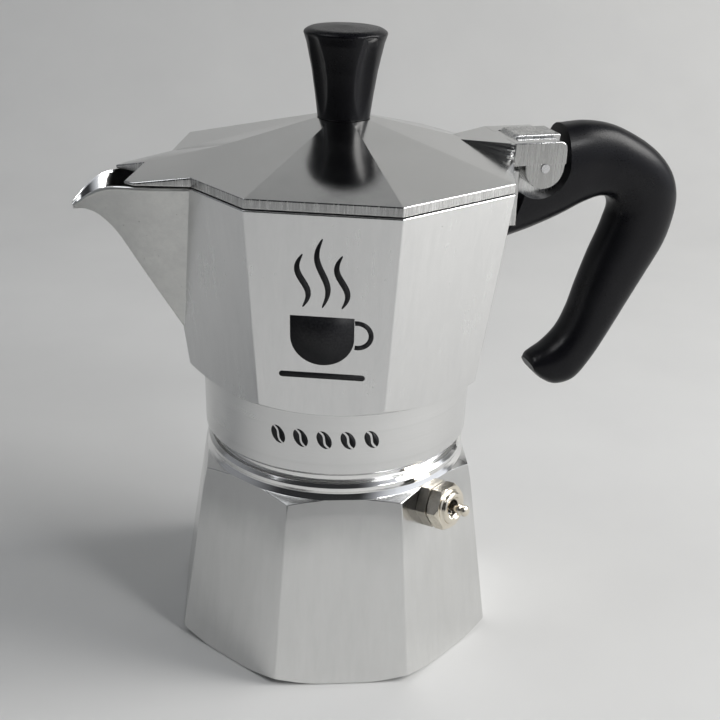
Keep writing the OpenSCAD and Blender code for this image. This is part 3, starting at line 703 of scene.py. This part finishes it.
def valve_matrix():
    """From the valve's own axis, +Z outwards and 0 on the facet, to the frame, in metres."""
    reach = (BOILER_R + BOILER_TAPER * VALVE_Z) * FLAT
    return (Matrix.Rotation(VALVE_ANGLE, 4, "Z")
            @ Matrix.Translation((reach * MM, VALVE_SIDE * MM, VALVE_Z * MM))
            @ Matrix.Rotation(math.pi / 2 - VALVE_TILT, 4, "Y"))


def hexagon_nut(name, low, high, chamfer_low, chamfer_high):
    """Hexagon with turned chamfers at its ends, as deep as given where its corners are."""
    angles, k = polygon_outline(6, math.radians(30), 0.04, 10)
    corner = VALVE_HEX / 2 / math.cos(math.pi / 6)
    turned = corner - 0.75

    def end(z, sign, depth):
        cut = np.clip((k * corner - turned) / (corner - turned), 0, 1)
        return np.stack([k * corner, z + sign * depth * cut], -1)

    flat_r = np.minimum(k * corner - 0.05, turned)
    paths = stack_path(
        len(k), (0, low), np.stack([flat_r, np.full(len(k), low)], -1), end(low, 1, chamfer_low),
        end(high, -1, chamfer_high), np.stack([flat_r, np.full(len(k), high)], -1), (0, high))
    return revolved(name, angles, rounded(paths, [0, 0.02, 0.12, 0.12, 0.02, 0], 3), valve_matrix())


def make_valve():
    axis = valve_matrix()
    base = hexagon_nut("valve_base", 0.0, 3.0, 0.0, 0.3)
    neck = round_solid("valve_neck", [
        (0, -8), (VALVE_SHANK_R, -8), (VALVE_SHANK_R, 0.1), (4, 0.1), (4, 5.3), (0, 5.3)],
        [0, 0.2, 0, 0, 0.1, 0], 64, 2, axis)
    joined(base, "UNION", neck)
    joined(base, "DIFFERENCE", round_solid("valve_way", [
        (0, -9), (1.6, -9), (1.6, -5.5), (3, -5.5), (3, 6.5), (0, 6.5)], [0] * 6, 48, 2, axis))
    paint(base, [dull_nickel])
    tidy_mesh(base)
    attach(base, "boiler")
    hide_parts("valve_body")

    cap = hexagon_nut("valve_nut", 3.35, 6.9, 0.3, 0.85)
    dome = round_solid("valve_dome", [
        (0, 3.6), (4.9, 3.6), (4.9, 6.9), (4.3, 7.2), (4.2, 7.9), (3.7, 8.2), (3.0, 8.2), (2.7, 7.8),
        (2.2, 7.5), (0, 7.5)], [0, 0, 0.2, 0.3, 0.25, 0.3, 0.3, 0.2, 0.2, 0], 72, 3, axis)
    joined(cap, "UNION", dome)
    joined(cap, "DIFFERENCE", round_solid("valve_recess", [
        (0, 3), (4.02, 3), (4.02, 5.4), (2.9, 5.4), (2.9, 6.4), (2.2, 6.4), (2.2, 9), (0, 9)], [0] * 8, 64, 2,
        axis))
    paint(cap, [nickel])
    tidy_mesh(cap)
    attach(cap, "boiler")
    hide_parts("valve_cap")

    stem = round_solid("valve_plunger", [
        (0, -4.7), (2.7, -4.7), (2.7, -3.9), (0.9, -3.9), (0.9, 9.2), (1.5, 9.7), (1.5, 10.3), (0.95, 10.7),
        (1.5, 11.1), (1.45, 11.8), (0.8, 12.2), (0, 12.2)],
        [0, 0.1, 0.1, 0.1, 0.2, 0.25, 0.3, 0.2, 0.3, 0.35, 0.2, 0], 48, 3, axis)
    paint(stem, [nickel])
    tidy_mesh(stem)
    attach(stem, "valve_stem")
    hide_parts("valve_stem")


# ---------------- lid

def tab_solid(name, drop, margin, bottom, bevel):
    """The lid's tongue over the spout: a forked plate whose top falls from a ridge on y = 0."""
    half = [(-24, 13.5 - margin), (-41.5, 13.5 - margin), (-54.4 + margin / 2, 9.8 - margin),
            (-56.3 + margin, 7.6 - margin)]
    notch = (-50.2 + margin, 0)
    outline = [(x, -y) for x, y in half] + [notch] + half[::-1] + [(-24, 0)]
    ridge_x, ridge_z, ridge_slope, side_slope = -30.2, 136, 0.17, 0.176

    def roof(x, y):
        return ridge_z - drop + ridge_slope * (x - ridge_x) - side_slope * abs(y)

    n = len(outline)
    points = [[x, y, bottom] for x, y in outline] + [[x, y, roof(x, y)] for x, y in outline]
    sides = [[i, (i + 1) % n, n + (i + 1) % n, n + i] for i in range(n)]
    floor = [list(range(n))[::-1]]
    roofs = [[n + i for i in [0, 1, 2, 3, 4, n - 1]], [n + i for i in range(4, n)]]
    tab = make_object(name, points, sides + floor + roofs)
    if bevel:
        rounding = tab.modifiers.new("bevel", "BEVEL")
        rounding.width = bevel * MM
        rounding.segments = 4
        rounding.limit_method = "ANGLE"
        rounding.angle_limit = math.radians(25)
        apply_modifiers(tab)
    return tab


def bracket_solid():
    """Raised bracket in front of the hinge, with a flat top and flanks fluted by three ridges."""
    ridges, per_flute, depth, bulge = 3, 8, 0.8, 1.6
    top, low, foot = PLATEAU_Z - 0.05, 130.25, 129.8
    rings = []
    for s in [*np.linspace(0, 1, 15), 1.35]:
        along, beyond = min(s, 1), max(s - 1, 0)
        flank = []
        for t in np.linspace(0, 1, ridges * per_flute + 1):
            tip = np.array([31.0, 3.0, top])
            end = np.array([43.1, EAR_W - 0.05 - 0.3 * (s > 1), top + (low - top) * t])
            point = tip + (end - tip) * along
            point += np.array([6 * beyond, bulge * math.sin(math.pi * along) * t, 0])
            hollow = depth * along * abs(math.sin(ridges * math.pi * t))
            flank.append(point - hollow * np.array([0.1, 0.85, 0.35]))
        flank = np.array(flank)
        last = flank[-1]
        base = [[last[0], last[1], foot], [last[0], -last[1], foot]]
        rings.append(np.concatenate([(flank * [1, -1, 1])[::-1], flank, base]))
    return swept("bracket", rings)


def ear_outline():
    corner_r, front, back, low = 2.2, 43.2, 58.2, FLANGE_Z + 0.1
    corner = arc((back - corner_r, PLATEAU_Z - corner_r), corner_r, 0, 90, 10)
    return np.concatenate([[[front, low], [back, low]], corner, [[front, PLATEAU_Z]]])


def boss_outline():
    """The round below an ear, filled up to the ear's back."""
    boss_r, back, front = 5.5, 58.15, 46.7
    return np.concatenate([arc((PIN_X, PIN_Z), boss_r, 180, 350.2, 48),
                           [[back, 131.0], [back, 133], [front, 133]]])


def make_lid():
    body = octagonal("lid_body", [
        (0, FLANGE_Z), on_facets(LID_R, FLANGE_Z), on_facets(LID_R, LID_Z), on_facets(SEAT_R, SEAT_Z),
        (0, SEAT_Z)], [0, 0.25, 0.3, 0.15, 0])
    inner_r, inner_z = LID_R - 2.6, LID_Z - 1.4
    inner_top = inner_z + LID_SLOPE * (inner_r - SEAT_R)
    hollow = octagonal("lid_hollow", [
        (0, FLANGE_Z - 1), on_facets(inner_r + 0.2, FLANGE_Z - 1), on_facets(inner_r, inner_z),
        on_facets(SEAT_R, inner_top), (0, inner_top)], [0, 0, 0.5, 0.5, 0])
    joined(hollow, "UNION", tab_solid("tab_hollow", 1.8, 1.8, FLANGE_Z - 2, 0))
    boss = round_solid("boss", [(0, 137), (5, 137), (5, 147), (0, 147)], [0, 0.5, 0, 0], 48)
    joined(hollow, "DIFFERENCE", bar("keep", 40, 70, 120, 150, EAR_W), boss)
    joined(body, "UNION", tab_solid("tab", 0, 0, FLANGE_Z, 0.55), bracket_solid())
    inner_face = 4.0
    for side in (-1, 1):
        for name, outline, face, bevel in (("ear", ear_outline(), EAR_W, 0.35),
                                           ("boss", boss_outline(), EAR_W - 0.1, 0.3)):
            joined(body, "UNION", plate(name, outline, *sorted((side * inner_face, side * face)), bevel))
    joined(body, "DIFFERENCE", hollow, on_pin("slot", 10.15, 2 * SLOT_W, 128),
           on_pin("pin_hole", PIN_R + 0.07, 40), rod("screw_hole", 2.1, 130, 150, 48))
    centre, normal = face_data(body)
    r = np.hypot(centre[:, 0], centre[:, 1])
    z = centre[:, 2]
    side_on = np.abs(normal[:, 2]) < 0.6
    ear = centre[:, 0] > 43.0
    flange = side_on & (z < LID_Z + 0.2) & (r > 40)
    ear_face = ear & (np.abs(normal[:, 1]) > 0.8) & (np.abs(centre[:, 1]) > 9.5)
    # painted dark reflection: the lid's rim gets the darker filed metal
    index = np.where(flange, 1, 0)
    index = np.where(ear_face, 3, index)
    index = np.where((normal[:, 2] < -0.5) & ~ear, 2, index)
    paint(body, [lid_metal, filed_metal_painted_shade, inner_metal, ear_metal], index)
    tidy_mesh(body)
    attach(body, "lid")
    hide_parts("lid")


# ---------------- knob

def make_knob():
    low, high = KNOB_LO[2], KNOB_HI[2]
    foot, wide = 6.6, 10.5
    finest = 0.3                              # longest step along the profile
    angles = np.linspace(0, 2 * math.pi, 360, endpoint=False)
    profile = rounded(np.array([
        (0, low), (foot, low), (foot + 0.15, low + 1.3), (foot + 0.68, low + 5.4), (foot + 1.65, low + 11.8),
        (wide - 0.85, high - 4), (wide, high - 1.5), (wide - 1.4, high - 0.55), (0, high)]),
        [0, 0.3, 1, 10, 12, 4, 0.7, 4, 0], 5)
    fine = []
    for a, b in zip(profile[:-1], profile[1:]):
        parts = max(1, int(np.linalg.norm(b - a) / finest))
        fine.extend(a + (b - a) * np.linspace(0, 1, parts, endpoint=False)[:, None])
    profile = np.array(fine + [profile[-1]])
    # lens-shaped flutes: how deep each point lies inside a leaning barrel
    barrel_r, bend_r, axis_x, middle, lean = 5.8, 38.7, 12.8, low + 10.6, math.radians(9.6)
    flutes, flute_turn, soft = 4, math.radians(21), 0.14
    turn = (angles - flute_turn + math.pi / flutes) % (2 * math.pi / flutes) - math.pi / flutes
    r, z = profile[None, :, 0], profile[None, :, 1]
    x, y = r * np.cos(turn)[:, None] - axis_x, r * np.sin(turn)[:, None]
    along = x * math.sin(lean) + (z - middle) * math.cos(lean)
    across = np.hypot(x * math.cos(lean) - (z - middle) * math.sin(lean), y)
    depth = np.sqrt(np.maximum(bend_r ** 2 - along ** 2, 0)) - (bend_r - barrel_r) - across
    cut = np.where(r > 4, (depth + np.sqrt(depth ** 2 + soft ** 2)) / 2, 0)
    cut *= np.clip((high - 1.2 - z) / 1.5, 0, 1)
    paths = np.stack([np.maximum(r - cut, 0), np.broadcast_to(z, cut.shape)], -1)
    knob = revolved("knob_grip", angles, paths)
    insert_lo, insert_hi = box_mm("knob_insert")
    insert_r = (insert_hi[0] - insert_lo[0]) / 2
    joined(knob, "DIFFERENCE", rod("insert_hole", insert_r, low - 1, insert_hi[2] + 0.5, 48))
    paint(knob, [black_plastic])
    tidy_mesh(knob, 50)
    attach(knob, "lid")
    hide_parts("knob")


# ---------------- handle

# Stations along the handle: x, z, half thickness, direction of the thickness in degrees
HANDLE = np.array([
    [48, 122.5, 15.6, 74], [57, 124, 14.9, 71], [64.7, 125.7, 13.4, 72], [71.5, 126.6, 11.6, 67],
    [77.6, 126, 9.9, 57], [83.2, 123.4, 9.5, 38], [86.7, 119.6, 9.8, 22], [88, 115.2, 10, 9],
    [87.4, 110.4, 10, -3], [85.7, 104.8, 9.8, -13], [82, 97, 9, -21], [78.2, 88.4, 8, -26],
    [74.7, 80.2, 7, -34], [71.2, 73.8, 6.8, -45], [66.9, 69, 7.1, -51], [62.4, 67.2, 6.3, -56],
    [59.4, 67.6, 4.2, -62], [57.6, 68.2, 1.6, -66]], float)
HANDLE_W = 7.6


def make_handle():
    last = len(HANDLE) - 1
    place = np.arange(last + 1)
    # fuller where it meets the vessel, thinner towards its end
    width = HANDLE_W + 0.5 * np.maximum(3 - place, 0) - 1.4 * place / last - 0.7 * np.maximum(place - 14, 0)
    table = np.concatenate([HANDLE, width[:, None]], 1)
    flatness = 2 / 2.4                        # 1 for an ellipse, less for a squarer section
    a = np.linspace(0, 2 * math.pi, 72, endpoint=False)
    across, sideways = (np.sign(v) * np.abs(v) ** flatness for v in (np.cos(a), np.sin(a)))
    rings = []
    for x, z, half, tilt, wide in smooth_stations(table, 9):
        t = math.radians(tilt)
        rings.append(np.stack([x + half * across * math.cos(t), wide * sideways,
                               z + half * across * math.sin(t)], -1))
    grip = swept("handle_grip", rings)
    low, high = 90, 150
    vessel_space = octagonal("vessel_space", [
        (0, low), on_facets(VESSEL_R0 + VESSEL_TAPER * low, low),
        on_facets(VESSEL_R0 + VESSEL_TAPER * high, high), (0, high)], [0, 0, 0, 0])
    spaces = [bar("space", 40, x, z0, z1, w) for x, z0, z1, w in (
        (PIN_X + EAR_SWING_R, PIN_Z, 160, 20), (LUG_X + PLAY, TONGUE_Z, 140, LUG_W + PLAY),
        (TONGUE_X + 0.1, TONGUE_Z, TONGUE_TOP_Z + 0.1, TONGUE_W + PLAY),
        (WEB_X + 0.1, WEB_Z - 0.1, 133, WEB_W + PLAY))]
    head_r, head_z = 3.3, 114.9
    screw = round_solid("screw_way", [
        (0, 100), (head_r, 100), (head_r, head_z), (SCREW_R, head_z), (SCREW_R, 126), (0, 126)], [0] * 6, 48,
        matrix=Matrix.Translation((SCREW_X * MM, 0, 0)))
    joined(grip, "DIFFERENCE", vessel_space, on_pin("swing", EAR_SWING_R, 40, 128), *spaces, screw)
    paint(grip, [black_plastic])
    tidy_mesh(grip, 40)
    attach(grip, "vessel")
    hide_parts("handle")


# ---------------- printed mark

def on_front_facet(points):
    """Points (across, up) from the middle of the front facet, laid on it in the frame."""
    lean = math.atan(VESSEL_TAPER * FLAT)
    middle_z = 105.0
    reach = (VESSEL_R0 + VESSEL_TAPER * middle_z) * FLAT
    out = np.array([math.cos(FRONT_TURN), math.sin(FRONT_TURN), 0])
    across = np.array([-math.sin(FRONT_TURN), math.cos(FRONT_TURN), 0])
    up = out * math.sin(lean) + np.array([0, 0, math.cos(lean)])
    face = out * math.cos(lean) - np.array([0, 0, math.sin(lean)])
    base = out * reach + np.array([0, 0, middle_z])
    points = np.asarray(points, float)
    return base + points[:, :1] * across + points[:, 1:] * up, face


def print_shape(name, outline):
    """A thin printed shape on the front facet."""
    points, face = on_front_facet(outline)
    return swept(name, [points - 0.02 * face, points + 0.03 * face])


def stroke(centre_line, widths):
    """Outline of a stroke with a width at each point of its centre line."""
    line = np.asarray(centre_line, float)
    along = np.gradient(line, axis=0)
    along /= np.linalg.norm(along, axis=1, keepdims=True)
    across = np.stack([-along[:, 1], along[:, 0]], -1) * (np.asarray(widths)[:, None] / 2)
    return np.concatenate([line + across, (line - across)[::-1]])


def on_band(points):
    """Points (along, up) from the middle of the band under the front facet, laid on it."""
    points = np.asarray(points, float)
    middle_z, middle_turn = 68.3, FRONT_TURN + math.radians(1)
    z = middle_z + points[:, 1]
    radius = BAND_R - 0.3 + 0.3 * (z - SKIRT_Z) / (BAND_Z - SKIRT_Z)
    turn = middle_turn + points[:, 0] / BAND_R
    face = np.stack([np.cos(turn), np.sin(turn), np.zeros(len(z))], -1)
    return np.concatenate([face[:, :2] * radius[:, None], z[:, None]], 1), face


def band_shape(name, outline):
    """A thin printed shape on the band."""
    points, face = on_band(outline)
    return swept(name, [points - 0.05 * face, points + 0.04 * face])


def make_mark():
    """A plain cup on a saucer with three wisps of steam, and a row of coffee beans below."""
    pieces = []
    cup_r, cup_rim, cup_low = 7.6, -1.5, -7.0
    bowl = np.concatenate([[[-cup_r, cup_rim]], arc((0, cup_low), cup_r, 180, 360, 40), [[cup_r, cup_rim]]])
    pieces.append(print_shape("print_cup", bowl))
    grip = arc((8.3, -6.0), 3.3, 100, -100, 24)
    pieces.append(print_shape("print_cup_handle", stroke(grip, np.full(len(grip), 1.2))))
    saucer_x, saucer_z, saucer_r = 9.6, -17.6, 0.8
    saucer = np.concatenate([arc((-saucer_x, saucer_z), saucer_r, 90, 270, 8),
                             arc((saucer_x, saucer_z), saucer_r, -90, 90, 8)])
    pieces.append(print_shape("print_saucer", saucer))
    t = np.linspace(0, 1, 41)
    sway, wisp_low = 1.3, 0.9
    for i, (x, height) in enumerate(((-4.6, 13.5), (0.0, 17.5), (4.6, 13.5))):
        wisp = np.stack([x + sway * np.sin(2 * math.pi * t), wisp_low + height * t], -1)
        pieces.append(print_shape(f"print_steam_{i}", stroke(wisp, 0.25 + 1.3 * np.sin(math.pi * t) ** 0.7)))
    beans, spacing, lean = 5, 6.0, math.radians(28)
    half_wide, half_long, seam_x, seam_sway = 1.7, 2.6, 0.28, 0.35
    upright = np.array([[math.cos(lean), math.sin(lean)], [-math.sin(lean), math.cos(lean)]])
    for i in range(beans):
        middle = np.array([spacing * (i - (beans - 1) / 2), 0.6])
        for side in (1, -1):
            rim = arc((0, 0), 1.0, -88 * side, 88 * side, 20) * [half_wide, half_long] * [side, 1]
            seam_t = np.linspace(1, -1, 13) * side
            seam_line = [seam_x * side + seam_sway * np.sin(math.pi * seam_t), (half_long - 0.05) * seam_t]
            outline = np.concatenate([rim, np.stack(seam_line, -1)]) @ upright
            pieces.append(band_shape(f"print_bean_{i}_{'left' if side < 0 else 'right'}", outline + middle))
    for piece in pieces:
        paint(piece, [ink])
        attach(piece, "vessel")


# ---------------- CAD nodes that show as they are

def dress_cad_nodes():
    finishes = {
        "valve_spring": steel, "valve_seal": dark_rubber, "funnel": sheet_metal,
        "funnel_strainer": sheet_metal, "gasket": white_rubber, "filter_plate": sheet_metal,
        "handle_screw": steel, "hinge_pin": steel, "knob_insert": brass, "knob_screw": steel,
        "knob_washer": steel}
    for name, finish in finishes.items():
        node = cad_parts[name]
        node.data.materials.clear()
        node.data.materials.append(finish)


# ---------------- floor, light and camera

def make_stage():
    s = Shader(bpy.data.materials.new("pale_floor"))
    weave = s.noise(s.scaled(0.02, 0.02, 0.02), detail=3.0)
    s.set(Base_Color=s.mix(weave, (0.60, 0.60, 0.595), (0.66, 0.66, 0.65)), Roughness=0.85)
    depth, height, bend, half, z = 620.0, 900.0, 260.0, 1500.0, -0.05
    profile = rounded(np.array([[-half, z], [depth, z], [depth, height]]), [0, bend, 0], 24)
    turn = math.radians(CAMERA_AZIMUTH)
    spin = np.array([[math.cos(turn), math.sin(turn)], [-math.sin(turn), math.cos(turn)]])
    points = [[*(np.array([x, y]) @ spin), up] for x in (-half, half) for y, up in profile]
    n = len(profile)
    faces = [[i, n + i, n + i + 1, i + 1] for i in range(n - 1)]
    floor = make_object("floor", points, faces)
    floor.data.materials.append(s.owner)


def area_light(name, place, target, size, power, tint=(1, 1, 1)):
    """Rectangular lamp at a place in metres, turned to its target."""
    light = bpy.data.lights.new(name, "AREA")
    light.shape = "RECTANGLE"
    light.size, light.size_y = size
    light.energy = power
    light.color = tint
    obj = bpy.data.objects.new(name, light)
    bpy.context.scene.collection.objects.link(obj)
    obj.location = place
    obj.rotation_mode = "QUATERNION"
    obj.rotation_quaternion = (Vector(target) - Vector(place)).to_track_quat("-Z", "Y")


# Soft lobes of the world's light: direction, cosines where a lobe starts and is full, strength there
LOBES = (((0.95, -0.25, 0.15), 0.35, 0.95, 0.03, 1.05),
         ((0.0, 0.6, 0.8), 0.5, 1.0, 0.0, 0.06),
         ((-0.9, 0.4, 0.1), 0.6, 1.0, 0.0, 0.22))


def make_lights():
    world = bpy.data.worlds.new("studio")
    bpy.context.scene.world = world
    sky = Shader(world)
    strength = 0.0
    for towards, low, high, least, most in LOBES:
        dot = sky.add("ShaderNodeVectorMath", {"operation": "DOT_PRODUCT"})
        sky.put(dot.inputs[0], sky.coordinates["Generated"])
        sky.put(dot.inputs[1], towards)
        lobe = sky.ramp(dot.outputs["Value"], low, high, least, most, "SMOOTHSTEP")
        strength = sky.math("ADD", strength, lobe)
    sky.set(Strength=strength, Color=(0.88, 0.91, 0.97, 1))
    area_light("key", (0.75, -0.25, 0.60), (0.05, -0.05, 0.05), (0.45, 0.5), 7.2, (1.0, 0.985, 0.96))
    area_light("overhead", (-0.5, 0.1, 1.0), (-0.05, 0, 0.05), (0.6, 0.5), 1.9, (0.95, 0.975, 1.0))
    area_light("front_right", (0.35, -0.55, 0.55), (0.16, -0.20, 0.0), (0.15, 0.15), 1.6)


CAMERA_PLACE = (-0.089455, -0.290124, 0.207128)
CAMERA_AZIMUTH, CAMERA_DIP, CAMERA_ROLL = -18.310, 23.462, 1.974
CAMERA_LENS = 60.588


def make_camera():
    data = bpy.data.cameras.new("camera")
    data.lens = CAMERA_LENS
    data.sensor_width = 36
    data.clip_start, data.clip_end = 0.01, 10
    obj = bpy.data.objects.new("camera", data)
    bpy.context.scene.collection.objects.link(obj)
    obj.matrix_world = (
        Matrix.Translation(CAMERA_PLACE) @ Matrix.Rotation(math.radians(CAMERA_AZIMUTH), 4, "Z")
        @ Matrix.Rotation(math.radians(90 - CAMERA_DIP), 4, "X")
        @ Matrix.Rotation(math.radians(CAMERA_ROLL), 4, "Z"))
    bpy.context.scene.camera = obj


make_camera()
make_vessel()
make_column()
make_boiler()
make_valve()
make_lid()
make_knob()
make_handle()
make_mark()
dress_cad_nodes()
make_stage()
make_lights()

bpy.context.scene.view_settings.view_transform = "Standard"
